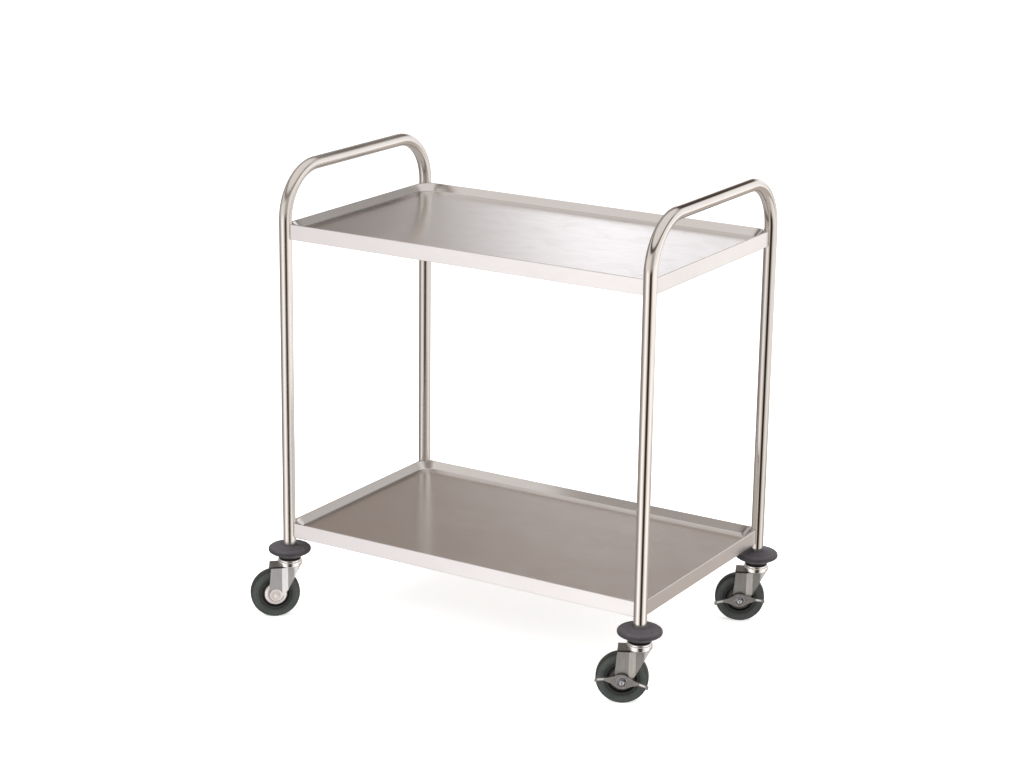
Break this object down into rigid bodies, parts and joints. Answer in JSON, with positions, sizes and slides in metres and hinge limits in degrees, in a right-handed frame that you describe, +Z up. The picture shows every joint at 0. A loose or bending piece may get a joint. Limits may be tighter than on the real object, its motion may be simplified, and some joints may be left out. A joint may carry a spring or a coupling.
{
  "type": "instrument cart",
  "caption": "Stainless instrument cart: shallow flat trays between bent-tube end frames, on bumpered swivel casters with wing-pedal side brakes at one end.",
  "frame": {"origin": "on the floor, midway between the leg axes along both the length and the width", "axes": "+X along the tray length towards the end with the braked casters, +Y across the width away from the front, +Z up"},
  "size_m": [0.9184, 0.6056, 0.929],
  "materials": {
    "polished_tube": "polished stainless tube",
    "satin_tray": "fine satin stainless sheet",
    "underside_sheet": "plain mill-finish sheet",
    "zinc_fasteners": "bright zinc plate",
    "zinc_caster": "bright zinc-plated pressed steel",
    "bearing_steel": "ground bearing steel",
    "hub_cover_steel": "bright pressed cover",
    "hub_plastic": "moulded nylon, matt",
    "tyre_rubber": "smooth dark grey rubber",
    "bumper_rubber": "matt charcoal rubber"
  },
  "bodies": {
    "frame": {"left_end_frame": "polished_tube", "right_end_frame": "polished_tube", "top_tray": "satin_tray", "bottom_tray": "satin_tray", "top_tray_stiffener": "underside_sheet", "bottom_tray_stiffener": "underside_sheet", "corner_gussets": "underside_sheet", "tray_bolts": "zinc_fasteners", "frame_nut_inserts": "zinc_fasteners", "stem_sockets": "zinc_fasteners", "swivel_caps": "zinc_caster", "bumper_front_left": "bumper_rubber", "kingpin_front_left": "zinc_fasteners", "bumper_front_right": "bumper_rubber", "kingpin_front_right": "zinc_fasteners", "bumper_back_right": "bumper_rubber", "kingpin_back_right": "zinc_fasteners", "bumper_back_left": "bumper_rubber", "kingpin_back_left": "zinc_fasteners"},
    "caster_front_left": {"fork_front_left": "zinc_caster", "swivel_balls_front_left": "bearing_steel", "axle_bolt_front_left": "zinc_fasteners", "axle_nut_front_left": "zinc_fasteners", "axle_sleeve_front_left": "zinc_fasteners"},
    "wheel_front_left": {"tyre_front_left": "tyre_rubber", "wheel_hub_front_left": "hub_plastic", "wheel_bearings_front_left": "bearing_steel", "hub_covers_front_left": "hub_cover_steel"},
    "caster_front_right": {"fork_front_right": "zinc_caster", "swivel_balls_front_right": "bearing_steel", "axle_bolt_front_right": "zinc_fasteners", "axle_nut_front_right": "zinc_fasteners", "axle_sleeve_front_right": "zinc_fasteners"},
    "wheel_front_right": {"tyre_front_right": "tyre_rubber", "wheel_hub_front_right": "hub_plastic", "wheel_bearings_front_right": "bearing_steel", "hub_covers_front_right": "hub_cover_steel"},
    "brake_front_right": {"brake_pedal_front_right": "zinc_caster", "brake_cam_front_right": "zinc_caster"},
    "caster_back_right": {"fork_back_right": "zinc_caster", "swivel_balls_back_right": "bearing_steel", "axle_bolt_back_right": "zinc_fasteners", "axle_nut_back_right": "zinc_fasteners", "axle_sleeve_back_right": "zinc_fasteners"},
    "wheel_back_right": {"tyre_back_right": "tyre_rubber", "wheel_hub_back_right": "hub_plastic", "wheel_bearings_back_right": "bearing_steel", "hub_covers_back_right": "hub_cover_steel"},
    "brake_back_right": {"brake_pedal_back_right": "zinc_caster", "brake_cam_back_right": "zinc_caster"},
    "caster_back_left": {"fork_back_left": "zinc_caster", "swivel_balls_back_left": "bearing_steel", "axle_bolt_back_left": "zinc_fasteners", "axle_nut_back_left": "zinc_fasteners", "axle_sleeve_back_left": "zinc_fasteners"},
    "wheel_back_left": {"tyre_back_left": "tyre_rubber", "wheel_hub_back_left": "hub_plastic", "wheel_bearings_back_left": "bearing_steel", "hub_covers_back_left": "hub_cover_steel"}
  },
  "joints": [
    {"name": "swivel_front_left", "type": "hinge", "parent": "frame", "child": "caster_front_left", "pos_m": [-0.402, -0.246, 0.12], "axis": [0, 0, 1], "continuous": true},
    {"name": "wheel_spin_front_left", "type": "hinge", "parent": "caster_front_left", "child": "wheel_front_left", "pos_m": [-0.42467, -0.26641, 0.05], "axis": [-0.6691, 0.7431, 0], "continuous": true},
    {"name": "swivel_front_right", "type": "hinge", "parent": "frame", "child": "caster_front_right", "pos_m": [0.402, -0.246, 0.12], "axis": [0, 0, 1], "continuous": true},
    {"name": "wheel_spin_front_right", "type": "hinge", "parent": "caster_front_right", "child": "wheel_front_right", "pos_m": [0.37482, -0.25985, 0.05], "axis": [-0.454, 0.891, 0], "continuous": true},
    {"name": "brake_front_right", "type": "hinge", "parent": "caster_front_right", "child": "brake_front_right", "pos_m": [0.37482, -0.25985, 0.05], "axis": [-0.454, 0.891, 0], "range_deg": [-12, 0]},
    {"name": "swivel_back_right", "type": "hinge", "parent": "frame", "child": "caster_back_right", "pos_m": [0.402, 0.246, 0.12], "axis": [0, 0, 1], "continuous": true},
    {"name": "wheel_spin_back_right", "type": "hinge", "parent": "caster_back_right", "child": "wheel_back_right", "pos_m": [0.37459, 0.23263, 0.05], "axis": [-0.4384, 0.8988, 0], "continuous": true},
    {"name": "brake_back_right", "type": "hinge", "parent": "caster_back_right", "child": "brake_back_right", "pos_m": [0.37459, 0.23263, 0.05], "axis": [-0.4384, 0.8988, 0], "range_deg": [0, 12]},
    {"name": "swivel_back_left", "type": "hinge", "parent": "frame", "child": "caster_back_left", "pos_m": [-0.402, 0.246, 0.12], "axis": [0, 0, 1], "continuous": true},
    {"name": "wheel_spin_back_left", "type": "hinge", "parent": "caster_back_left", "child": "wheel_back_left", "pos_m": [-0.42729, 0.22895, 0.05], "axis": [-0.5592, 0.829, 0], "continuous": true}
  ]
}
